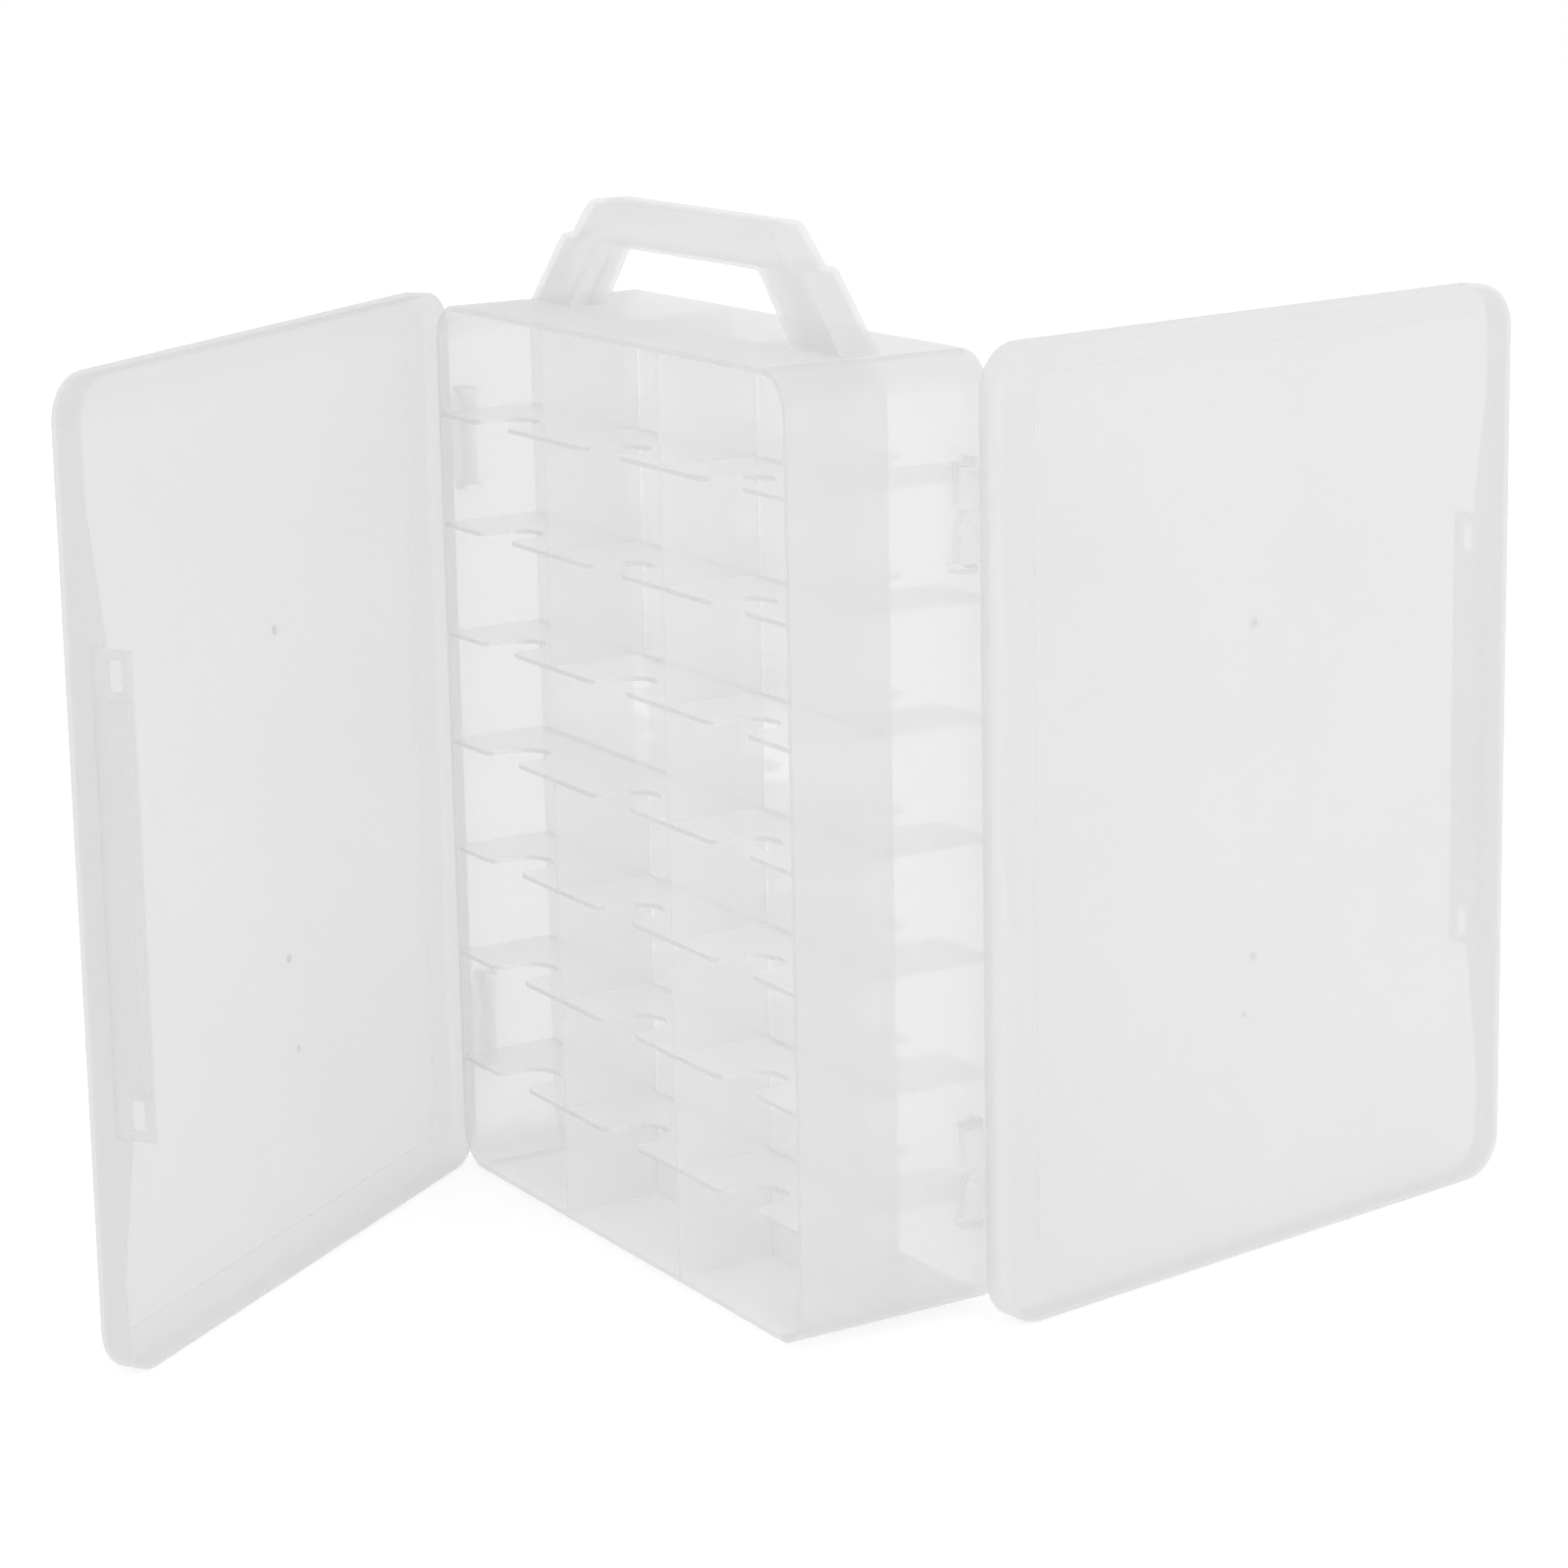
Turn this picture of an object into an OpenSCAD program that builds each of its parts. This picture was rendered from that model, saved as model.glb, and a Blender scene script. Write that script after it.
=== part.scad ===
// Double-sided thread box in moulded translucent plastic: an upright case open at the front and
// at the rear, a centre panel, shelves and dividers on both sides, a lid on each side and a
// carrying handle. The origin is on the floor, under the middle of the case. The front is -Y.

/* [Case] */
// Outside width of the case
case_w = 245; // [180:1:320]
// Depth of the case, from the front opening to the rear opening
case_d = 78; // [60:1:110]
// Height of the case walls, without the feet
case_h = 330; // [260:1:420]
// Thickness of the outer walls
wall_t = 2; // [1.2:0.1:3]
// Outer radius of the four corners
corner_r = 14; // [8:1:24]
// Height of the feet under the case
foot_h = 2.6; // [2.4:0.1:5]
// Width of one foot
foot_w = 26; // [12:1:40]
// Length of one foot, front to rear
foot_l = 12; // [8:1:16]

/* [Compartments] */
// Rows of compartments
rows = 8; // [5:1:10]
// Columns of compartments
columns = 3; // [3:1:4]
// Row, counted from the top, where the first two columns are one wide compartment
wide_row = 4; // [2:1:5]
// Thickness of the centre panel
panel_t = 1.8; // [1.2:0.1:3]
// Thickness of a shelf
shelf_t = 1.6; // [1:0.1:2.5]
// Thickness of a divider
divider_t = 1.5; // [1:0.1:2.5]
// Radius of the finger notch in a shelf
notch_r = 10.3; // [6:0.1:14]
// Depth of the finger notch from the shelf's front edge
notch_depth = 19; // [15:0.5:26]
// Radius of the rounded shoulders where the notch meets the front edge
notch_shoulder_r = 4; // [2:0.5:6]

/* [Lids] */
// Thickness of the lid panel
lid_t = 1.8; // [1.2:0.1:3]
// Thickness of the lid rim
rim_t = 1.5; // [1:0.1:2.5]
// How far the rim reaches over the case walls
lid_overlap = 9; // [6:0.5:14]
// Gap between the lid and the case, all round
lid_gap = 0.6; // [0.5:0.05:1]
// Further gap between the lid's upper rim and the top of the case
lid_rise = 2; // [0:0.2:4]
// Radius of the outer edge between lid panel and rim
lid_edge_r = 3; // [1.5:0.5:5]
// Width of the plain border between the raised lid panel and the hinge side
border_w = 13.8; // [6:0.2:20]
// Width of the plain border along the other three sides of the raised lid panel
edge_border_w = 9.6; // [5:0.2:14]
// Height of the raised lid panel over its border
border_step = 0.6; // [0.4:0.1:1.2]
// Angle at which the front lid stands open
front_open = 55; // [0:1:180]
// Angle at which the rear lid stands open
rear_open = 82.5; // [0:0.5:180]

/* [Hinges] */
// Diameter of a hinge pin
pin_d = 3.4; // [2.6:0.1:3.8]
// Radial clearance between a pin and its knuckle
pin_clearance = 0.08; // [0.03:0.01:0.1]
// Outer radius of a knuckle and of the lugs that hold the pin
knuckle_r = 4.1; // [3.9:0.1:4.6]
// Length of a knuckle
knuckle_l = 32; // [20:1:33]
// Height of the notch in the middle of a knuckle
knuckle_notch = 5; // [3:0.5:8]
// Height of one hinge over both lugs
hinge_l = 38; // [30:1:50]
// Thickness of a lug
lug_t = 2; // [1.5:0.1:3]
// Distance from the end of the case to the middle of the nearer hinge
hinge_inset = 52; // [40:1:80]
// Distance of the hinge axis from the outer face of the side wall
hinge_out = 5; // [4.9:0.1:5.4]
// Width of the slot through which a knuckle snaps on its pin
snap_slot = 2.6; // [2:0.1:3]

/* [Latches] */
// Length of a latch tab along the lid's free edge
latch_l = 164; // [100:1:200]
// How far a latch tab reaches past the lid rim
latch_reach = 15; // [12:0.5:18]
// Length of a sloping shoulder beside the latch tab
shoulder_l = 48; // [20:1:50]
// How far the sloping shoulders reach past the lid rim
shoulder_reach = 5.4; // [2:0.2:8]
// Height of the latch windows along the tab
window_l = 10.6; // [8:0.2:14]
// Width of the latch windows across the tab
window_w = 5.4; // [4:0.2:6]
// How far the latch tab stands out from the rim
latch_out = 0.5; // [0.4:0.1:1]
// Distance from the end of the tab to the middle of its window
window_inset = 8.6; // [8:0.2:12]
// Height of a catch over the wall
catch_h = 0.8; // [0.5:0.1:0.9]
// Height of the finger pad over the latch tab
pad_h = 1; // [0.5:0.1:1.5]

/* [Handle] */
// Half the width of the handle at its foot, outside
handle_foot_x = 107; // [70:0.1:120]
// Half the width of the handle's shoulders
shoulder_x = 81.2; // [55:0.5:90]
// Height of the shoulders over the case
shoulder_z = 27; // [20:0.5:40]
// Half the width of the hand opening at the foot
opening_foot_x = 75.4; // [45:0.5:90]
// Half the width of the hand opening at the top
opening_top_x = 55; // [35:0.5:70]
// Height of the top of the hand opening over the case
opening_z = 24.5; // [18:0.5:36]
// Half the width of the grip at the shoulders
grip_foot_x = 74.6; // [48:0.1:84]
// Half the width of the grip at its top
grip_top_x = 60.2; // [35:0.5:70]
// Height of the grip's top over the case
grip_z = 40.8; // [32:0.5:60]
// Thickness of the handle, front to rear
handle_t = 16.4; // [10:0.2:20]
// Wall thickness of the hollow handle
handle_wall = 2; // [1.5:0.1:3]
// Radius of the grip's two upper corners
grip_bend_r = 11; // [4:0.5:14]
// Radius of the handle's shoulders
shoulder_bend_r = 4; // [1:0.5:6]
// Radius of the upper corners of the hand opening
opening_bend_r = 7; // [2:0.5:10]

/* [Hidden] */
SIDES = ["front", "rear"];
$fn = 48;
corner_fn = 64;
bend_steps = 10;
eps = 0.01;

clear_pp = [0.93, 0.94, 0.95];
panel_pp = [0.88, 0.90, 0.92];
lid_pp = [0.90, 0.92, 0.94];
handle_pp = [0.82, 0.84, 0.86];

case_mid_z = foot_h + case_h / 2;
case_top_z = foot_h + case_h;
inner_w = case_w - 2 * wall_t;
inner_h = case_h - 2 * wall_t;
inner_r = corner_r - wall_t;
row_pitch = case_h / rows;
column_pitch = case_w / columns;
cell_depth = (case_d - panel_t) / 2;
foot_margin_x = 4;
foot_margin_y = 1.5;
foot_x = case_w / 2 - corner_r - foot_margin_x - foot_w / 2;
foot_y = case_d / 2 - lid_overlap - foot_margin_y - foot_l / 2;

cavity_w = case_w + 2 * lid_gap;
cavity_h = case_h + 2 * lid_gap + lid_rise;
lid_w = cavity_w + 2 * rim_t;
lid_h = cavity_h + 2 * rim_t;
lid_mid_z = case_mid_z + lid_rise / 2;
lid_r = corner_r + lid_gap + rim_t;
lid_cavity_r = corner_r + lid_gap;
rim_tip_y = -case_d / 2 + lid_overlap;
panel_in_y = -case_d / 2 - lid_gap;
lid_out_y = panel_in_y - lid_t;
cavity_edge_r = 1.2;

hinge_drop = 4;
hinge_back = lid_overlap + hinge_drop;
lug_front = 3;
hinge_x = -case_w / 2 - hinge_out;
hinge_y = -case_d / 2 + hinge_back;
pin_r = pin_d / 2;
bore_r = pin_r + pin_clearance;

latch_root_gap = 0.3;
latch_axis_y = rim_tip_y + rim_t / 2 + latch_root_gap;
latch_x = case_w / 2 + lid_gap + latch_out + rim_t / 2;
latch_slit = 0.4;
window_mid_y = rim_tip_y + 9;
catch_play = 1;
catch_w = window_w - catch_play;
catch_l = window_l - 2 * catch_play;
catch_crest = 0.8;
pad_start = 2.2;
lip_r = 1.6;
lip_out = 0.8;
shoulder_slope = 1.5;

handle_slant = norm([handle_foot_x - shoulder_x, shoulder_z]) / shoulder_z;
foot_extend = 1;

// Rectangle with round corners, centred
module rounded_rect(w, h, r) {
    square([w - 2 * r, h], center = true);
    square([w, h - 2 * r], center = true);
    for (sx = [-1, 1])
        for (sy = [-1, 1])
            translate([sx * (w / 2 - r), sy * (h / 2 - r)]) circle(r, $fn = corner_fn);
}

// Stands a flat outline up in the XZ plane, from y0 to y0 + t
module upright(y0, t) {
    translate([0, y0 + t, 0]) rotate([90, 0, 0]) linear_extrude(t) children();
}

// Turns the front half's pieces to the rear half
module to_side(side) {
    rotate([0, 0, side == "rear" ? 180 : 0]) children();
}

// Outline of the case walls, seen from the front
module wall_ring() {
    difference() {
        rounded_rect(case_w, case_h, corner_r);
        rounded_rect(inner_w, inner_h, inner_r);
    }
}

// Side wall on the left, with its two round corners, the front lid's lugs and the rear
// lid's catches
module side_wall() {
    upright(-case_d / 2, case_d)
        translate([0, case_mid_z])
            intersection() {
                wall_ring();
                translate([-case_w / 2, -case_h / 2]) square([corner_r, case_h]);
            }
    for (z = [foot_h + hinge_inset, case_top_z - hinge_inset]) hinge_lugs(z);
    for (sz = [-1, 1]) catch(case_mid_z + sz * (latch_l / 2 - window_inset));
}

// The two lugs that hold one hinge pin, with the block that ties each to the wall
module hinge_lugs(mid_z) {
    for (z = [mid_z - hinge_l / 2, mid_z + hinge_l / 2 - lug_t])
        translate([hinge_x, hinge_y, z]) {
            cylinder(r = knuckle_r, h = lug_t);
            translate([0, -lug_front, 0])
                cube([hinge_out + eps, lug_front + knuckle_r, lug_t]);
        }
}

// Wedge on the wall that the window of the rear lid's latch snaps over
module catch(mid_z) {
    y_in = -window_mid_y - catch_w / 2;
    y_out = -window_mid_y + catch_w / 2;
    translate([0, 0, mid_z - catch_l / 2])
        linear_extrude(catch_l)
            polygon([
                [-case_w / 2 + eps, y_in], [-case_w / 2 - catch_h, y_in + eps],
                [-case_w / 2 - catch_h, y_in + catch_crest], [-case_w / 2 + eps, y_out]
            ]);
}

module case_left_wall() color(clear_pp) side_wall();
module case_right_wall() color(clear_pp) rotate([0, 0, 180]) side_wall();

module case_flat_wall(z) {
    translate([-case_w / 2 + corner_r, -case_d / 2, z]) cube([case_w - 2 * corner_r, case_d, wall_t]);
}
module case_top_wall() color(clear_pp) case_flat_wall(case_top_z - wall_t);
module case_base() color(clear_pp) case_flat_wall(foot_h);

// One pad under the case
module foot() {
    linear_extrude(foot_h) rounded_rect(foot_w, foot_l, foot_l / 2 - 1);
}

// Pads at the corners and in the middle that carry the case clear of the lids' rims
module case_feet() {
    color(clear_pp) {
        foot();
        for (sx = [-1, 1])
            for (sy = [-1, 1]) translate([sx * foot_x, sy * foot_y, 0]) foot();
    }
}

module centre_panel() {
    color(panel_pp)
        upright(-panel_t / 2, panel_t)
            translate([0, case_mid_z]) rounded_rect(inner_w, inner_h, inner_r);
}

// Finger notch, cut from the front edge at y = 0 towards +y
module notch_outline() {
    mouth = notch_r + notch_shoulder_r;
    translate([-notch_r, -1]) square([2 * notch_r, notch_depth - notch_r + 1]);
    translate([0, notch_depth - notch_r]) circle(notch_r);
    difference() {
        translate([-mouth, -1]) square([2 * mouth, notch_shoulder_r + 1]);
        for (sx = [-1, 1]) translate([sx * mouth, notch_shoulder_r]) circle(notch_shoulder_r);
    }
}

// One shelf of the front side, number 1 at the top
module shelf(k) {
    z = case_top_z - k * row_pitch;
    translate([0, 0, z - shelf_t / 2])
        linear_extrude(shelf_t)
            difference() {
                translate([-inner_w / 2, -case_d / 2]) square([inner_w, cell_depth]);
                for (c = [0:columns - 1])
                    translate([(c - (columns - 1) / 2) * column_pitch, -case_d / 2]) notch_outline();
            }
}

// Height of the bottom and the top of a row's free space, row 1 at the top
function row_top(r) = r == 1 ? case_top_z - wall_t : case_top_z - (r - 1) * row_pitch - shelf_t / 2;
function row_bottom(r) = r == rows ? foot_h + wall_t : case_top_z - r * row_pitch + shelf_t / 2;

// Dividers on the line between column c and column c + 1 of the front side
module divider_line(c) {
    x = (c - columns / 2) * column_pitch;
    for (r = [1:rows])
        if (!(c == 1 && r == wide_row))
            translate([x - divider_t / 2, -case_d / 2, row_bottom(r)])
                cube([divider_t, cell_depth, row_top(r) - row_bottom(r)]);
}

// Hinge pin between the two lugs, the front lid's on the left wall
module hinge_pin(mid_z) {
    translate([hinge_x, hinge_y, mid_z - hinge_l / 2 + lug_t])
        cylinder(r = pin_r, h = hinge_l - 2 * lug_t);
}

// Knuckle of the lid, with its tongue to the tip of the lid rim, drawn with the lid closed
module lid_knuckle(mid_z) {
    z0 = mid_z - knuckle_l / 2;
    rim_x = -case_w / 2 - lid_gap - rim_t;
    difference() {
        translate([0, 0, z0]) {
            translate([hinge_x, hinge_y, 0]) cylinder(r = knuckle_r, h = knuckle_l);
            translate([rim_x, rim_tip_y, 0]) cube([rim_t, hinge_y - rim_tip_y, knuckle_l]);
        }
        translate([hinge_x, hinge_y, z0 - 1]) cylinder(r = bore_r, h = knuckle_l + 2);
        translate([hinge_x - knuckle_r - 1, hinge_y - snap_slot / 2, z0 - 1])
            cube([knuckle_r + 1, snap_slot, knuckle_l + 2]);
        translate([hinge_x - knuckle_r - 1, hinge_y - knuckle_r - 1, mid_z - knuckle_notch / 2])
            cube([knuckle_r + 1, 2 * knuckle_r + 2, knuckle_notch]);
    }
}

// Section through the edge of a pan, r wide from x = 0, with a rounded outer edge at y = 0
module edge_section(r, edge, len) {
    square([r - edge, len]);
    translate([0, edge]) square([r, len - edge]);
    translate([r - edge, edge]) circle(edge);
}

// One straight side of a pan, as long as side, standing r out from x = 0
module pan_side(side, r, edge, len) {
    translate([0, 0, -side / 2]) linear_extrude(side) edge_section(r, edge, len);
}

// Closed block with round corners and a rounded outer edge, from y0 towards +y
module pan(w, h, r, edge, y0, len) {
    flat_w = w - 2 * r;
    flat_h = h - 2 * r;
    translate([0, y0, lid_mid_z]) {
        translate([-flat_w / 2, 0, -flat_h / 2]) cube([flat_w, len, flat_h]);
        for (quarter = [0:3])
            rotate([0, 90 * quarter, 0]) {
                long_way = quarter % 2 == 0;
                translate([(long_way ? flat_w : flat_h) / 2, 0, 0])
                    pan_side(long_way ? flat_h : flat_w, r, edge, len);
                translate([(long_way ? flat_w : flat_h) / 2, 0, (long_way ? flat_h : flat_w) / 2])
                    rotate([-90, 0, 0])
                        rotate([0, 0, -90]) rotate_extrude(angle = 90) edge_section(r, edge, len);
            }
    }
}

// Lid moulding, drawn closed on the front side
module lid_shell() {
    raised_x = (border_w - edge_border_w) / 2;
    raised_w = lid_w - border_w - edge_border_w;
    raised_h = lid_h - 2 * edge_border_w;
    raised_r = lid_r - edge_border_w;
    difference() {
        union() {
            pan(lid_w, lid_h, lid_r, lid_edge_r, lid_out_y, rim_tip_y - lid_out_y);
            upright(lid_out_y - border_step, border_step + eps)
                translate([raised_x, lid_mid_z]) rounded_rect(raised_w, raised_h, raised_r);
        }
        pan(cavity_w, cavity_h, lid_cavity_r, cavity_edge_r, panel_in_y, rim_tip_y - panel_in_y + 1);
        upright(panel_in_y - border_step, border_step + 1)
            translate([raised_x, lid_mid_z])
                rounded_rect(raised_w - 2 * lid_t, raised_h - 2 * lid_t, raised_r - lid_t / 2);
    }
    lid_shoulders();
}

// Sloping shoulders of the rim at both ends of the latch tab
module lid_shoulders() {
    for (sz = [-1, 1])
        translate([case_w / 2 + lid_gap, 0, case_mid_z])
            rotate([0, -90, 0])
                mirror([0, 0, 1])
                    linear_extrude(rim_t)
                        polygon([
                            [sz * (latch_l / 2 + latch_slit), rim_tip_y - eps],
                            [sz * (latch_l / 2 + latch_slit), rim_tip_y + shoulder_reach],
                            [sz * (latch_l / 2 + latch_slit + shoulder_slope), rim_tip_y + shoulder_reach],
                            [sz * (latch_l / 2 + shoulder_l), rim_tip_y - eps]
                        ]);
}

// Latch tab with its two windows, its finger pad and the rolled lip, drawn with the lid closed
module latch_tab() {
    pad_l = latch_l - 4 * window_inset;
    difference() {
        union() {
            translate([latch_x, latch_axis_y, case_mid_z - latch_l / 2])
                cylinder(d = rim_t, h = latch_l);
            translate([latch_x - rim_t / 2, latch_axis_y, case_mid_z - latch_l / 2])
                cube([rim_t, rim_tip_y + latch_reach - latch_axis_y, latch_l]);
            translate([latch_x, rim_tip_y + pad_start, case_mid_z - pad_l / 2])
                cube([rim_t / 2 + pad_h, latch_reach - pad_start, pad_l]);
            translate([latch_x + rim_t / 2 + pad_h - lip_r + lip_out, rim_tip_y + latch_reach - lip_r,
                       case_mid_z - pad_l / 2])
                cylinder(r = lip_r, h = pad_l);
        }
        for (sz = [-1, 1])
            translate([latch_x - rim_t, window_mid_y - window_w / 2,
                       case_mid_z + sz * (latch_l / 2 - window_inset) - window_l / 2])
                cube([2 * rim_t, window_w, window_l]);
        translate([latch_x - rim_t / 2 - eps, rim_tip_y + pad_start + rim_t,
                   case_mid_z - pad_l / 2 + rim_t])
            cube([pad_h, latch_reach - pad_start - 2 * rim_t, pad_l - 2 * rim_t]);
    }
}

// Opens the front lid's pieces about its hinge axis
module opened(angle) {
    translate([hinge_x, hinge_y, 0]) rotate([0, 0, -angle]) translate([-hinge_x, -hinge_y, 0]) children();
}

function open_angle(side) = side == "front" ? front_open : rear_open;
function hinge_z(n) = n == "upper" ? case_top_z - hinge_inset : foot_h + hinge_inset;

function toward(a, b) = (b - a) / norm(b - a);

// Points of the arc of radius r that rounds the corner at b between a and c
function bend(a, b, c, r) =
    let (
        half_angle = acos(toward(b, a) * toward(b, c)) / 2,
        middle = b + toward([0, 0], toward(b, a) + toward(b, c)) * r / sin(half_angle),
        start = b + toward(b, a) * r / tan(half_angle) - middle,
        end = b + toward(b, c) * r / tan(half_angle) - middle
    )
        [for (i = [0:bend_steps]) middle + toward([0, 0], start * (bend_steps - i) + end * i) * r];

// Closed outline through pts; radii rounds the corners, 0 leaves one sharp
module rounded_outline(pts, radii) {
    last = len(pts) - 1;
    polygon([
        for (i = [0:last])
            let (a = pts[i == 0 ? last : i - 1], b = pts[i], c = pts[i == last ? 0 : i + 1])
                each radii[i] == 0 ? [b] : bend(a, b, c, radii[i])
    ]);
}

// Outer outline of the handle, foot at y = 0
module handle_outline() {
    left = [
        [-handle_foot_x, 0], [-shoulder_x, shoulder_z], [-grip_foot_x, shoulder_z], [-grip_top_x, grip_z]
    ];
    radii = [0, shoulder_bend_r, 0, grip_bend_r];
    right = [for (i = [3:-1:0]) [-left[i][0], left[i][1]]];
    rounded_outline(concat(left, right), concat(radii, [for (i = [3:-1:0]) radii[i]]));
}

module hand_opening() {
    rounded_outline([
        [-opening_foot_x - foot_extend, -foot_extend], [-opening_top_x, opening_z],
        [opening_top_x, opening_z], [opening_foot_x + foot_extend, -foot_extend]
    ], [0, opening_bend_r, opening_bend_r, 0]);
}

// Hollow of the handle: the legs, joined through the grip
module handle_hollow() {
    slant = handle_wall * handle_slant;
    leg_top = shoulder_z - handle_wall;
    grip_side = grip_foot_x - slant;
    right_side = [
        [handle_foot_x + foot_extend - slant, -foot_extend],
        [shoulder_x - handle_wall / 2, leg_top], [grip_side, leg_top], [grip_side, shoulder_z],
        [grip_top_x + handle_wall, grip_z - 3 * handle_wall],
        [grip_top_x - handle_wall, grip_z - handle_wall]
    ];
    opening_side = [
        [opening_top_x + slant, opening_z + handle_wall], [opening_top_x + slant, leg_top - 1],
        [opening_foot_x + foot_extend + slant, -foot_extend]
    ];
    middle = [[0, grip_z - handle_wall], [0, opening_z + handle_wall]];
    for (sx = [-1, 1])
        polygon([for (p = concat(right_side, middle, opening_side)) [sx * p[0], p[1]]]);
}

// Front half of the handle, a shell that is open towards the rear half
module handle_half() {
    color(handle_pp)
        translate([0, 0, case_top_z])
            difference() {
                upright(-handle_t / 2, handle_t / 2)
                    difference() {
                        handle_outline();
                        hand_opening();
                    }
                upright(-handle_t / 2 + handle_wall, handle_t / 2) handle_hollow();
            }
}

case_left_wall();
case_right_wall();
case_top_wall();
case_base();
case_feet();
centre_panel();
for (side = SIDES) {
    to_side(side) handle_half();
    for (k = [1:rows - 1])
        color(clear_pp) to_side(side) shelf(k);
    for (n = ["left", "right"])
        color(panel_pp) to_side(side) divider_line(n == "left" ? 1 : 2);
    for (n = ["upper", "lower"]) {
        color(handle_pp) to_side(side) hinge_pin(hinge_z(n));
        color(lid_pp) to_side(side) opened(open_angle(side)) lid_knuckle(hinge_z(n));
    }
    color(lid_pp) to_side(side) opened(open_angle(side)) lid_shell();
    color(lid_pp) to_side(side) opened(open_angle(side)) latch_tab();
}
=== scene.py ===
import logging
import math
from collections.abc import Callable
from dataclasses import dataclass, field
from enum import Enum

import bpy
from mathutils import Matrix, Vector


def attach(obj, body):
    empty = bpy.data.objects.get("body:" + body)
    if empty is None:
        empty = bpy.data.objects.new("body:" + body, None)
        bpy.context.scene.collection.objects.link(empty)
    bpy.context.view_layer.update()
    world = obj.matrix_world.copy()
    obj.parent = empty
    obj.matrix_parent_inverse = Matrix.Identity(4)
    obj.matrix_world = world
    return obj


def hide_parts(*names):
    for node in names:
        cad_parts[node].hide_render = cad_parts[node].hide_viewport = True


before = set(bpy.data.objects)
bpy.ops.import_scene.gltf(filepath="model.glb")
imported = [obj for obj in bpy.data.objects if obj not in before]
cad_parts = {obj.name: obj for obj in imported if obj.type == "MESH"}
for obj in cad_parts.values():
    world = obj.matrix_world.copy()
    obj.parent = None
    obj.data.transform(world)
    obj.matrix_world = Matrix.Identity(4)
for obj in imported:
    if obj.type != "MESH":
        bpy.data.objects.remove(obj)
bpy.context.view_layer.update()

log = logging.getLogger("thread_box")
MM = 0.001  # the CAD sizes are in millimetres, the scene is in metres
MID_Z = 167.6  # mid height of the case, which stands on 2.6 mm feet, in millimetres
WHITE = (1.0, 1.0, 1.0, 1.0)


class Side(Enum):
    """The two open sides of the case."""

    FRONT = "front"
    REAR = "rear"


def srgb(code: str) -> tuple[float, float, float, float]:
    """Turn an sRGB hex value into a linear colour.

    Args:
        code: six hex digits, without a hash sign.

    Returns:
        Linear red, green, blue and an alpha of 1.
    """
    parts = [int(code[i:i + 2], 16) / 255 for i in (0, 2, 4)]
    red, green, blue = [c / 12.92 if c <= 0.04045 else ((c + 0.055) / 1.055) ** 2.4 for c in parts]
    return (red, green, blue, 1.0)


def add_node(
    tree: bpy.types.NodeTree, kind: str, inputs: dict[str | int, object] | None = None, **settings: str,
) -> bpy.types.Node:
    """Add one node with its settings and its links.

    Args:
        tree: the node tree it goes into.
        kind: the node's type name.
        inputs: from each socket's name or number to its value, or to the output socket that feeds it.
        **settings: the node's own properties.

    Returns:
        The new node.
    """
    node = tree.nodes.new(kind)
    for name, value in settings.items():
        setattr(node, name, value)
    for key, value in (inputs or {}).items():
        if isinstance(value, bpy.types.NodeSocket):
            tree.links.new(value, node.inputs[key])
        else:
            node.inputs[key].default_value = value
    return node


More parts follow.
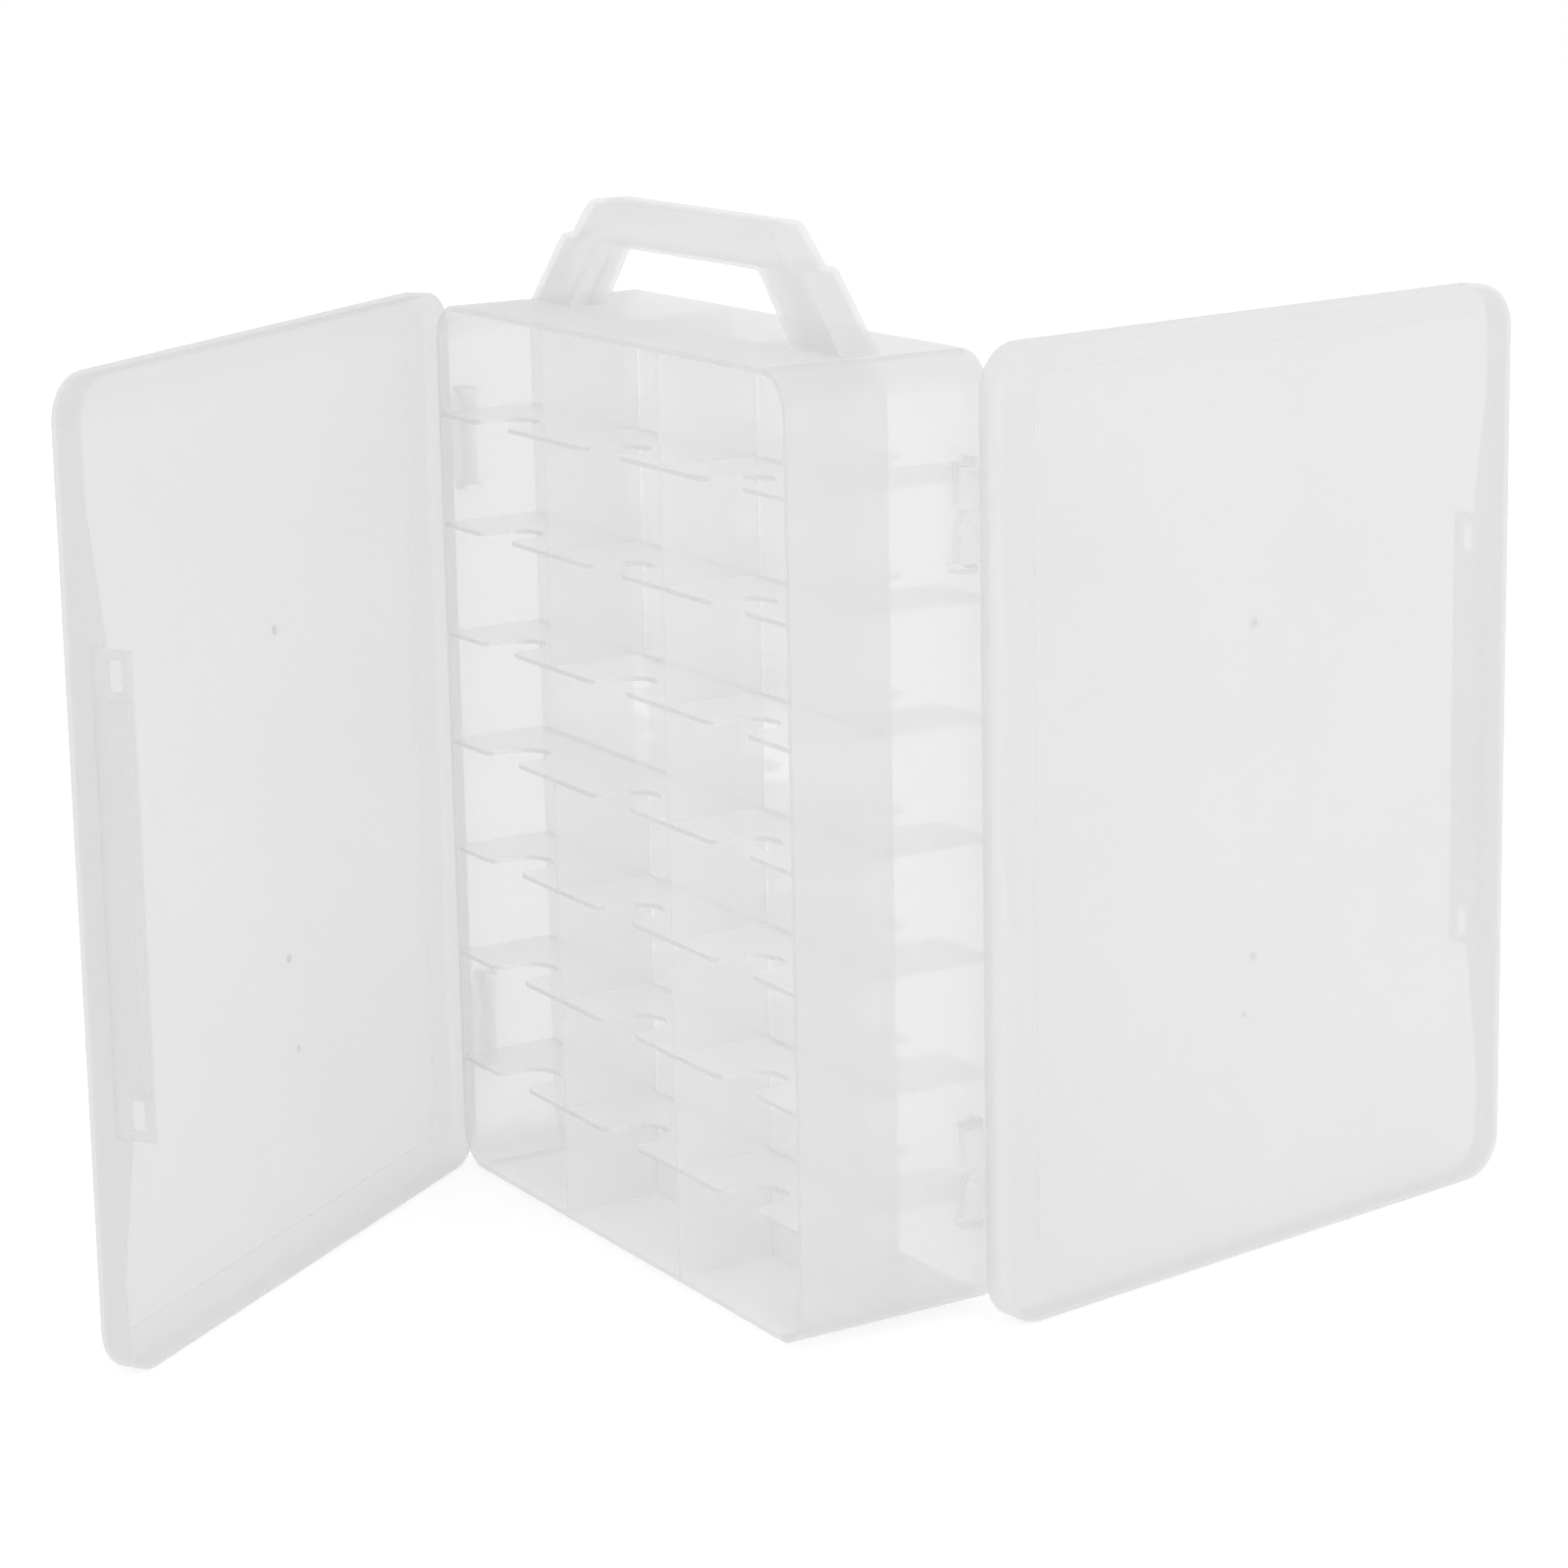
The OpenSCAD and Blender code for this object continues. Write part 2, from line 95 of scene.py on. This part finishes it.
@dataclass(frozen=True)
class MouldedPolypropylene:
    """Natural polypropylene, injection moulded: milky, see-through in thin walls, softly glossy.

    The melt leaves faint cloudy flow marks some centimetres long, and the gloss varies a little with
    the polish of the mould. An edged finish is denser on the edges that face an open side of the
    case, where the light comes along the sheet, and carries painted shade where the wall bends round a
    corner. One with a plate angle carries painted light on the rim that stands round a plate.

    Attributes:
        name: the material's name.
        tint: sRGB hex colour of the plastic.
        cloud_tint: its colour in the flow marks.
        clear: share of the light that goes straight through.
        edged: whether edges are denser and bends carry painted shade.
        plate_angle: angle of a lid plate's normal from +X at rest, in degrees; its rim then carries painted
            light.
        roughness: middle of the gloss variation.
        milk: share of the rest that glows through instead of shining back.
        edge_and_shading_tint: sRGB hex colour of the denser edges, of the painted shade on bends and of the
            painted light on a rim.
        edge_and_shading_clear: share of the light that goes straight through them.
        bend_shade_share: how far a bend goes towards that colour, as painted shade.
        flow_scale: flow marks per metre, about 70 mm apart.
        haze_scale: polish marks per metre, about 17 mm apart.
    """

    name: str
    tint: str
    cloud_tint: str
    clear: float
    edged: bool = False
    plate_angle: float | None = None
    roughness: float = 0.36
    milk: float = 0.5
    edge_and_shading_tint: str = "E9E9E9"
    edge_and_shading_clear: float = 0.3
    bend_shade_share: float = 0.6
    flow_scale: float = 14.0
    haze_scale: float = 60.0

    def painted_rim_light_share(self, tree: bpy.types.NodeTree, coords: bpy.types.Node) -> bpy.types.NodeSocket:
        """Find a lid's rim by how far its faces turn away from the plate.

        Args:
            tree: the material's node tree.
            coords: its texture coordinate node.

        Returns:
            A socket that is 1 on the rim and 0 on the plate.
        """
        # painted light: a lid's rim, where faces turn away from the plate, is given its own lighter tone
        turn = math.radians(self.plate_angle)
        plate_normal = (math.cos(turn), math.sin(turn), 0.0)
        along = add_node(
            tree, "ShaderNodeVectorMath",
            {0: coords.outputs["Normal"], 1: plate_normal}, operation="DOT_PRODUCT",
        )
        size = add_node(tree, "ShaderNodeMath", {0: along.outputs["Value"]}, operation="ABSOLUTE")
        share = add_node(
            tree, "ShaderNodeMapRange",
            {"Value": size.outputs[0], "From Min": 0.2, "From Max": 0.9, "To Min": 1.0, "To Max": 0.0},
        )
        return share.outputs["Result"]

    def edge_and_bend_shade_share(self, tree: bpy.types.NodeTree, coords: bpy.types.Node) -> bpy.types.NodeSocket:
        """Find the edges that face an open side of the case, and the bends of its corners.

        Args:
            tree: the material's node tree.
            coords: its texture coordinate node.

        Returns:
            A socket that is 1 on the edges, bend_shade_share on the bends for their painted shade, and 0
            elsewhere.
        """
        facing = add_node(tree, "ShaderNodeSeparateXYZ", {0: coords.outputs["Normal"]})
        place = add_node(tree, "ShaderNodeSeparateXYZ", {0: coords.outputs["Object"]})
        side = add_node(tree, "ShaderNodeMath", {0: place.outputs["Y"]}, operation="SIGN")
        outward = add_node(
            tree, "ShaderNodeMath", {0: facing.outputs["Y"], 1: side.outputs[0]}, operation="MULTIPLY",
        )
        share = add_node(
            tree, "ShaderNodeMapRange",
            {"Value": outward.outputs[0], "From Min": 0.2, "From Max": 0.7, "To Min": 0.0, "To Max": 1.0},
        )
        # painted shade: faces that lean between X and Z, on the bends of the corners, are darkened towards
        # the edge colour
        slant = add_node(
            tree, "ShaderNodeMath", {0: facing.outputs["X"], 1: facing.outputs["Z"]}, operation="MULTIPLY",
        )
        bend = add_node(tree, "ShaderNodeMath", {0: slant.outputs[0]}, operation="ABSOLUTE")
        corner = add_node(
            tree, "ShaderNodeMapRange",
            {"Value": bend.outputs[0], "From Min": 0.05, "From Max": 0.5,
             "To Min": 0.0, "To Max": self.bend_shade_share},
        )
        both = add_node(
            tree, "ShaderNodeMath",
            {0: share.outputs["Result"], 1: corner.outputs["Result"]}, operation="MAXIMUM",
        )
        return both.outputs[0]

    def material(self) -> bpy.types.Material:
        """Build the material.

        Returns:
            The material, with noise in its colour and gloss and one see-through share on each part.
        """
        mat = bpy.data.materials.new(self.name)
        mat.use_nodes = True
        tree = mat.node_tree
        tree.nodes.clear()
        coords = add_node(tree, "ShaderNodeTexCoord")
        place = coords.outputs["Object"]
        flow = add_node(
            tree, "ShaderNodeTexNoise",
            {"Vector": place, "Scale": self.flow_scale, "Detail": 3.0, "Roughness": 0.55},
        )
        haze = add_node(
            tree, "ShaderNodeTexNoise", {"Vector": place, "Scale": self.haze_scale, "Detail": 2.0},
        )
        colour = add_node(
            tree, "ShaderNodeMix",
            {0: flow.outputs["Fac"], 6: srgb(self.tint), 7: srgb(self.cloud_tint)},
            data_type="RGBA",
        )
        # the gloss stays rough enough for the denoiser, which specks on smoother see-through walls
        gloss = add_node(
            tree, "ShaderNodeMapRange",
            {"Value": haze.outputs["Fac"], "From Min": 0.3, "From Max": 0.7,
             "To Min": self.roughness - 0.04, "To Max": self.roughness + 0.06},
        )
        tint, see_through = colour.outputs[2], self.clear
        # the denser edges with the painted shade on the bends, or the painted light on a lid's rim
        if self.edged or self.plate_angle is not None:
            find = self.edge_and_bend_shade_share if self.plate_angle is None else self.painted_rim_light_share
            edge = find(tree, coords)
            tint = add_node(
                tree, "ShaderNodeMix",
                {0: edge, 6: tint, 7: srgb(self.edge_and_shading_tint)}, data_type="RGBA",
            ).outputs[2]
            see_through = add_node(
                tree, "ShaderNodeMix",
                {0: edge, 2: see_through, 3: self.edge_and_shading_clear}, data_type="FLOAT",
            ).outputs[0]
        skin = add_node(
            tree, "ShaderNodeBsdfPrincipled",
            {"Base Color": tint, "Roughness": gloss.outputs["Result"], "IOR": 1.49},
        )
        glow = add_node(tree, "ShaderNodeBsdfTranslucent", {"Color": tint})
        milk = add_node(
            tree, "ShaderNodeMixShader",
            {0: self.milk, 1: skin.outputs["BSDF"], 2: glow.outputs["BSDF"]},
        )
        window = add_node(tree, "ShaderNodeBsdfTransparent", {"Color": WHITE})
        mixed = add_node(
            tree, "ShaderNodeMixShader",
            {0: see_through, 1: milk.outputs["Shader"], 2: window.outputs["BSDF"]},
        )
        add_node(tree, "ShaderNodeOutputMaterial", {"Surface": mixed.outputs["Shader"]})
        return mat


@dataclass
class Finishes:
    """Every finish of the box, one for each kind of wall.

    All are the same natural polypropylene. The thinner the wall, the clearer it is.
    """

    wall: MouldedPolypropylene = MouldedPolypropylene(
        "pp_case_wall", "F4F4F4", "F1F1F1", 0.53, edged=True, edge_and_shading_tint="EEEEEE", edge_and_shading_clear=0.38,
    )
    flat: MouldedPolypropylene = MouldedPolypropylene(
        "pp_case_flat_wall", "F8F8F8", "F5F5F5", 0.46, edged=True, edge_and_shading_tint="EEEEEE", edge_and_shading_clear=0.38,
    )
    shelf: MouldedPolypropylene = MouldedPolypropylene("pp_shelf", "FEFEFE", "FBFBFB", 0.64, edged=True)
    foot: MouldedPolypropylene = MouldedPolypropylene("pp_foot", "FEFEFE", "FCFCFC", 0.80)
    divider: MouldedPolypropylene = MouldedPolypropylene(
        "pp_divider", "FDFDFD", "FAFAFA", 0.64, edged=True, edge_and_shading_tint="F3F3F3", edge_and_shading_clear=0.5,
    )
    panel: MouldedPolypropylene = MouldedPolypropylene("pp_centre_panel", "FCFCFC", "F9F9F9", 0.56)
    # painted shade: the front lid is tinted a little darker than the rear lid, though both are the same
    # plastic; each lid's lighter rim colour is painted light
    front_lid: MouldedPolypropylene = MouldedPolypropylene(
        "pp_front_lid", "EFEFEF", "EBEBEB", 0.42, plate_angle=35.0, edge_and_shading_tint="F0F0F0", edge_and_shading_clear=0.42,
    )
    rear_lid: MouldedPolypropylene = MouldedPolypropylene(
        "pp_rear_lid", "F1F1F1", "EDEDED", 0.42, plate_angle=7.5, edge_and_shading_tint="F4F4F4", edge_and_shading_clear=0.42,
    )
    latch: MouldedPolypropylene = MouldedPolypropylene("pp_latch", "F2F2F2", "EEEEEE", 0.42)
    handle: MouldedPolypropylene = MouldedPolypropylene("pp_handle", "FBFBFB", "F8F8F8", 0.52, milk=0.65)
    knuckle: MouldedPolypropylene = MouldedPolypropylene("pp_knuckle", "FCFCFC", "FAFAFA", 0.66)
    pin: MouldedPolypropylene = MouldedPolypropylene("pp_hinge_pin", "FEFEFE", "FCFCFC", 0.72)
    made: dict[str, bpy.types.Material] = field(default_factory=dict)

    def get(self, finish: MouldedPolypropylene) -> bpy.types.Material:
        """Return the finish's material, made on first use.

        Args:
            finish: one of this class's finishes.

        Returns:
            The material.
        """
        if finish.name not in self.made:
            self.made[finish.name] = finish.material()
        return self.made[finish.name]


def dress(node: str, material: bpy.types.Material) -> None:
    """Give a CAD node its material.

    Args:
        node: the node's name.
        material: what it is made of.
    """
    ob = bpy.data.objects[node]
    for slot in ob.material_slots:
        slot.material = material
    if not ob.material_slots:
        ob.data.materials.append(material)
    log.info("dressed %s in %s", node, material.name)


def pick_vertices(piece: bpy.types.Object, chosen: Callable[[Vector], bool]) -> None:
    """Select vertices in edit mode by their place.

    Args:
        piece: the mesh object, in edit mode.
        chosen: takes a vertex's place in metres and tells whether it is selected.
    """
    bpy.ops.mesh.select_all(action="DESELECT")
    bpy.ops.object.mode_set(mode="OBJECT")
    for vertex in piece.data.vertices:
        vertex.select = chosen(vertex.co)
    bpy.ops.object.mode_set(mode="EDIT")


def pick_faces(piece: bpy.types.Object, chosen: Callable[[bpy.types.MeshPolygon], bool]) -> None:
    """Select faces in edit mode by their place or normal.

    Args:
        piece: the mesh object, in edit mode.
        chosen: takes a face and tells whether it is selected.
    """
    bpy.ops.mesh.select_all(action="DESELECT")
    bpy.ops.mesh.select_mode(type="FACE")
    bpy.ops.object.mode_set(mode="OBJECT")
    for face in piece.data.polygons:
        face.select = chosen(face)
    bpy.ops.object.mode_set(mode="EDIT")


def soften(piece: bpy.types.Object, width: float, segments: int) -> None:
    """Round a piece's sharp edges.

    Args:
        piece: the mesh object, in object mode.
        width: width of the rounding in millimetres.
        segments: faces across the rounding.
    """
    bevel = piece.modifiers.new("soft_edges", "BEVEL")
    bevel.width = width * MM
    bevel.segments = segments
    bevel.limit_method = "ANGLE"
    bpy.ops.object.select_all(action="DESELECT")
    piece.select_set(True)
    bpy.context.view_layer.objects.active = piece
    bpy.ops.object.modifier_apply(modifier=bevel.name)
    bpy.ops.object.shade_smooth_by_angle(angle=math.radians(40))


def box_piece(
    name: str, middle: tuple[float, float, float], size: tuple[float, float, float],
) -> bpy.types.Object:
    """Add a block as the start of a piece.

    Args:
        name: the piece's name.
        middle: its middle in millimetres.
        size: its sides in millimetres.

    Returns:
        The block, with its scale applied.
    """
    bpy.ops.object.select_all(action="DESELECT")
    bpy.ops.mesh.primitive_cube_add(size=1.0, location=Vector(middle) * MM)
    piece = bpy.context.object
    piece.name = name
    piece.scale = Vector(size) * MM
    bpy.ops.object.transform_apply(location=False, rotation=False, scale=True)
    return piece


@dataclass
class SoftHandle:
    """One half of the carrying handle, with the rounded outer edges of the moulding.

    Attributes:
        side: the side of the case that the half faces.
        material: what it is made of.
        half_t: how far its face stands from the middle of the case, in millimetres.
        edge_r: width of the rounding, in millimetres.
    """

    side: Side
    material: bpy.types.Material
    half_t: float = 8.2
    edge_r: float = 1.9

    def build(self) -> bpy.types.Object:
        """Round the outer edges of a copy of the CAD half, which then stands for it.

        Returns:
            The finished half.
        """
        node = f"{self.side.value}_handle_half"
        bpy.ops.object.select_all(action="DESELECT")
        source = bpy.data.objects[node]
        source.select_set(True)
        bpy.context.view_layer.objects.active = source
        bpy.ops.object.duplicate()
        piece = bpy.context.object
        piece.name = f"{self.side.value}_handle_shell"
        for key in list(piece.keys()):
            del piece[key]
        bpy.ops.object.mode_set(mode="EDIT")
        bpy.ops.mesh.select_all(action="SELECT")
        bpy.ops.mesh.remove_doubles(threshold=0.000001)
        bpy.ops.mesh.dissolve_limited(angle_limit=math.radians(0.5))
        face_y = (-1 if self.side is Side.FRONT else 1) * self.half_t * MM
        pick_faces(piece, lambda face: abs(face.center.y - face_y) < 0.01 * MM)
        bpy.ops.mesh.region_to_loop()
        bpy.ops.mesh.bevel(offset=self.edge_r * MM, segments=5, profile=0.5, clamp_overlap=True)
        bpy.ops.object.mode_set(mode="OBJECT")
        bpy.ops.object.shade_smooth_by_angle(angle=math.radians(35))
        piece.data.materials.clear()
        piece.data.materials.append(self.material)
        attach(piece, "case")
        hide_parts(node)
        log.info("softened %s", node)
        return piece


@dataclass
class Case:
    """The case: outer walls, centre panel, shelves, dividers, handle and hinge pins.

    Attributes:
        finishes: the box's finishes.
        rows: rows of compartments on each side, with a shelf between each two.
    """

    finishes: Finishes
    rows: int = 8

    def dress_all(self) -> None:
        """Dress every node of the case."""
        f = self.finishes
        for name in ("case_left_wall", "case_right_wall"):
            dress(name, f.get(f.wall))
        for name in ("case_top_wall", "case_base"):
            dress(name, f.get(f.flat))
        dress("case_feet", f.get(f.foot))
        dress("centre_panel", f.get(f.panel))
        for side in Side:
            SoftHandle(side, f.get(f.handle)).build()
            for k in range(1, self.rows):
                dress(f"{side.value}_shelf_{k}", f.get(f.shelf))
            for n in ("left", "right"):
                dress(f"{side.value}_divider_{n}", f.get(f.divider))
            for n in ("upper", "lower"):
                dress(f"{side.value}_hinge_pin_{n}", f.get(f.pin))


@dataclass
class Lid:
    """One lid with its knuckles, its latch tab and the small marks inside it.

    Attributes:
        side: the side of the case that the lid closes.
        finishes: the box's finishes.
        hinge: the hinge axis of the front lid, across and along, in millimetres.
        opened_deg: angle at which each lid stands open, in degrees.
        root_middle: middle of the latch's root strip on the closed front lid, in millimetres.
        root_size: its sides, in millimetres.
        gate_marks: name, place across, place up from mid height and radius of each gate mark.
        ejector_up: how high each lid's ejector mark lies above mid height, in millimetres.
        mark_depth: how thick a mark is, in millimetres.
        mark_y: its middle on the closed front lid, just inside the raised panel, in millimetres.
    """

    side: Side
    finishes: Finishes
    hinge: tuple[float, float, float] = (-127.5, -26.0, 0.0)
    opened_deg: dict[Side, float] = field(default_factory=lambda: {Side.FRONT: 55.0, Side.REAR: 82.5})
    root_middle: tuple[float, float, float] = (124.2, -29.6, MID_Z)
    root_size: tuple[float, float, float] = (0.6, 0.9, 163.9)
    gate_marks: tuple[tuple[str, float, float, float], ...] = (
        ("upper", -7.0, 62.0, 1.7), ("lower", -7.0, -57.5, 1.5),
    )
    ejector_up: dict[Side, float] = field(default_factory=lambda: {Side.FRONT: -92.0, Side.REAR: -78.0})
    mark_depth: float = 0.5
    mark_y: float = -40.0

    def dress_all(self) -> None:
        """Dress every node of the lid."""
        f = self.finishes
        dress(f"{self.side.value}_lid", f.get(f.front_lid if self.side is Side.FRONT else f.rear_lid))
        dress(f"{self.side.value}_latch", f.get(f.latch))
        for n in ("upper", "lower"):
            dress(f"{self.side.value}_lid_knuckle_{n}", f.get(f.knuckle))
        self.latch_root()
        self.mould_marks()

    def placed(self, piece: bpy.types.Object) -> None:
        """Turn a piece drawn on the closed front lid to where this lid stands, and settle it there.

        Args:
            piece: the piece, drawn in place with the front lid closed.
        """
        hinge = Vector(self.hinge) * MM
        swing = Matrix.Translation(hinge) @ Matrix.Rotation(-self.opened, 4, "Z") @ Matrix.Translation(-hinge)
        half_turn = Matrix.Rotation(math.pi if self.side is Side.REAR else 0.0, 4, "Z")
        piece.matrix_world = half_turn @ swing @ piece.matrix_world
        bpy.ops.object.select_all(action="DESELECT")
        piece.select_set(True)
        bpy.context.view_layer.objects.active = piece
        bpy.ops.object.transform_apply(location=True, rotation=True, scale=True)

    @property
    def opened(self) -> float:
        """Angle at which the lid stands open, in radians."""
        return math.radians(self.opened_deg[self.side])

    def latch_root(self) -> None:
        """Model the thin strip that bends between the lid's rim and the latch tab."""
        piece = box_piece(f"{self.side.value}_latch_root", self.root_middle, self.root_size)
        bpy.ops.object.mode_set(mode="EDIT")
        bpy.ops.mesh.select_all(action="SELECT")
        bpy.ops.mesh.subdivide(number_cuts=3)
        pick_vertices(piece, lambda co: abs(co.y) < 0.05 * MM)
        bpy.ops.transform.resize(value=(0.6, 1.0, 1.0))
        bpy.ops.object.mode_set(mode="OBJECT")
        soften(piece, 0.08, 2)
        self.placed(piece)
        piece.data.materials.append(self.finishes.get(self.finishes.knuckle))
        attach(piece, f"{self.side.value}_lid_body")
        log.info("modelled %s", piece.name)

    def mould_marks(self) -> None:
        """Model the small marks that the moulding gates and an ejector leave inside the lid panel."""
        marks = (*self.gate_marks, ("ejector", -11.0, self.ejector_up[self.side], 1.2))
        for name, across, up, radius in marks:
            bpy.ops.object.select_all(action="DESELECT")
            bpy.ops.mesh.primitive_cylinder_add(
                vertices=24, radius=radius * MM, depth=self.mark_depth * MM,
                location=Vector((across, self.mark_y, MID_Z + up)) * MM, rotation=(math.pi / 2, 0.0, 0.0),
            )
            piece = bpy.context.object
            piece.name = f"{self.side.value}_gate_mark_{name}"
            bpy.ops.object.mode_set(mode="EDIT")
            pick_faces(piece, lambda face: abs(face.normal.z) > 0.9)
            bpy.ops.mesh.inset(thickness=0.5 * MM, depth=0.0)
            bpy.ops.mesh.inset(thickness=0.3 * MM, depth=-0.1 * MM)
            bpy.ops.object.mode_set(mode="OBJECT")
            soften(piece, 0.12, 2)
            self.placed(piece)
            piece.data.materials.append(self.finishes.get(self.finishes.latch))
            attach(piece, f"{self.side.value}_lid_body")
            log.info("modelled %s", piece.name)


@dataclass
class Studio:
    """White room, one soft lamp and the camera of the photograph.

    Attributes:
        focal_px: focal length, in pixels of the photograph.
        picture_px: the photograph's width, in pixels.
        yaw: the camera's heading from +Y towards +X, in degrees.
        pitch: how far it looks down, in degrees.
        roll: how far it is turned about its line of sight, in degrees.
        centre_down_px: how far its line of sight lies below the picture's middle, in pixels.
        eye_mm: where it stands, in millimetres.
        room_light: the room's light on the box.
        bright_side: how much that light grows along +X, +Y and +Z.
        key_at: where the lamp hangs, in metres.
        key_size: the length of its sides, in metres.
        key_power: watts.
        aim_z: height that the lamp looks at, in metres.
        floor_tint: sRGB hex colour of the floor.
        floor_glow: the floor's own faint glow, as of a light table.
        floor_seen: what the camera sees on top of that, which makes the floor white.
        floor_size: the length of its sides, in metres.
        floor_gap: how far it lies under the feet, in metres.
    """

    focal_px: float = 4157.0
    picture_px: float = 1598.0
    yaw: float = -58.51
    pitch: float = 11.57
    roll: float = -1.10
    centre_down_px: float = -144.0
    eye_mm: tuple[float, float, float] = (1219.0, -713.0, 508.6)
    room_light: float = 0.84
    bright_side: tuple[float, float, float] = (0.12, 0.05, 0.04)
    key_at: tuple[float, float, float] = (1.7, -0.4, 2.2)
    key_size: float = 1.6
    key_power: float = 3.0
    aim_z: float = 0.18
    floor_tint: str = "F7F7F7"
    floor_glow: float = 0.13
    floor_seen: float = 0.14
    floor_size: float = 8.0
    floor_gap: float = 0.0005

    def camera(self) -> None:
        """Place the camera where the photograph was taken from."""
        yaw, pitch, roll = (math.radians(a) for a in (self.yaw, self.pitch, self.roll))
        ahead = Vector((math.sin(yaw) * math.cos(pitch), math.cos(yaw) * math.cos(pitch), -math.sin(pitch)))
        right = ahead.cross(Vector((0, 0, 1))).normalized()
        up = right.cross(ahead)
        rolled_right = right * math.cos(roll) + up * math.sin(roll)
        rolled_up = up * math.cos(roll) - right * math.sin(roll)
        data = bpy.data.cameras.new("camera")
        cam = bpy.data.objects.new("camera", data)
        bpy.context.collection.objects.link(cam)
        turned = Matrix((rolled_right, rolled_up, -ahead)).transposed().to_4x4()
        cam.matrix_world = Matrix.Translation(Vector(self.eye_mm) * MM) @ turned
        sensor_mm = 36.0
        data.sensor_width = sensor_mm
        data.sensor_fit = "HORIZONTAL"
        data.lens = self.focal_px / self.picture_px * sensor_mm
        data.shift_y = self.centre_down_px / self.picture_px
        data.clip_start = 0.05
        data.clip_end = 50.0
        bpy.context.scene.camera = cam

    def lamp(self) -> None:
        """Hang the square soft lamp that looks at the box."""
        data = bpy.data.lights.new("key", "AREA")
        data.size = self.key_size
        data.energy = self.key_power
        lamp = bpy.data.objects.new("key", data)
        bpy.context.collection.objects.link(lamp)
        lamp.location = self.key_at
        way = Vector((0, 0, self.aim_z)) - Vector(self.key_at)
        lamp.rotation_euler = way.to_track_quat("-Z", "Y").to_euler()

    def floor(self) -> None:
        """Lay the matt white floor, which keeps the box's shadow."""
        bpy.ops.object.select_all(action="DESELECT")
        bpy.ops.mesh.primitive_plane_add(size=self.floor_size, location=(0, 0, -self.floor_gap))
        floor = bpy.context.object
        floor.name = "floor"
        mat = bpy.data.materials.new("white_floor")
        mat.use_nodes = True
        tree = mat.node_tree
        tree.nodes.clear()
        path = add_node(tree, "ShaderNodeLightPath")
        glow = add_node(
            tree, "ShaderNodeMath",
            {0: path.outputs["Is Camera Ray"], 1: self.floor_seen, 2: self.floor_glow},
            operation="MULTIPLY_ADD",
        )
        matt = add_node(tree, "ShaderNodeBsdfDiffuse", {"Color": srgb(self.floor_tint)})
        white = add_node(tree, "ShaderNodeEmission", {"Color": WHITE, "Strength": glow.outputs[0]})
        both = add_node(
            tree, "ShaderNodeAddShader", {0: matt.outputs["BSDF"], 1: white.outputs["Emission"]},
        )
        add_node(tree, "ShaderNodeOutputMaterial", {"Surface": both.outputs["Shader"]})
        floor.data.materials.append(mat)

    def room(self) -> None:
        """Light the white room, a little brighter on one side."""
        world = bpy.data.worlds.new("white_room")
        world.use_nodes = True
        tree = world.node_tree
        tree.nodes.clear()
        path = add_node(tree, "ShaderNodeLightPath")
        way = add_node(tree, "ShaderNodeTexCoord").outputs["Generated"]
        lean = add_node(
            tree, "ShaderNodeVectorMath", {0: way, 1: self.bright_side}, operation="DOT_PRODUCT",
        )
        level = add_node(
            tree, "ShaderNodeMath",
            {0: lean.outputs["Value"], 1: self.room_light}, operation="ADD",
        )
        soft = add_node(tree, "ShaderNodeBackground", {"Color": WHITE, "Strength": level.outputs[0]})
        seen = add_node(tree, "ShaderNodeBackground", {"Color": WHITE, "Strength": 1.0})
        direct = add_node(
            tree, "ShaderNodeMath",
            {0: path.outputs["Is Camera Ray"], 1: path.outputs["Is Transmission Ray"]},
            operation="MAXIMUM",
        )
        mixed = add_node(
            tree, "ShaderNodeMixShader",
            {0: direct.outputs[0], 1: soft.outputs["Background"], 2: seen.outputs["Background"]},
        )
        add_node(tree, "ShaderNodeOutputWorld", {"Surface": mixed.outputs["Shader"]})
        bpy.context.scene.world = world

    def set_up(self) -> None:
        """Put up the whole studio."""
        self.camera()
        self.floor()
        self.room()
        self.lamp()
        scene = bpy.context.scene
        scene.view_settings.view_transform = "Standard"
        # light crosses many thin see-through walls on its way through the compartments
        scene.cycles.transparent_max_bounces = 64
        scene.cycles.max_bounces = 24
        scene.cycles.diffuse_bounces = 16
        scene.cycles.transmission_bounces = 24
        log.info("studio is up")


def main() -> None:
    """Build and dress the thread box."""
    logging.basicConfig(level=logging.INFO, format="%(message)s")
    finishes = Finishes()
    Studio().set_up()
    Case(finishes).dress_all()
    for side in Side:
        Lid(side, finishes).dress_all()


if __name__ == "__main__":
    main()
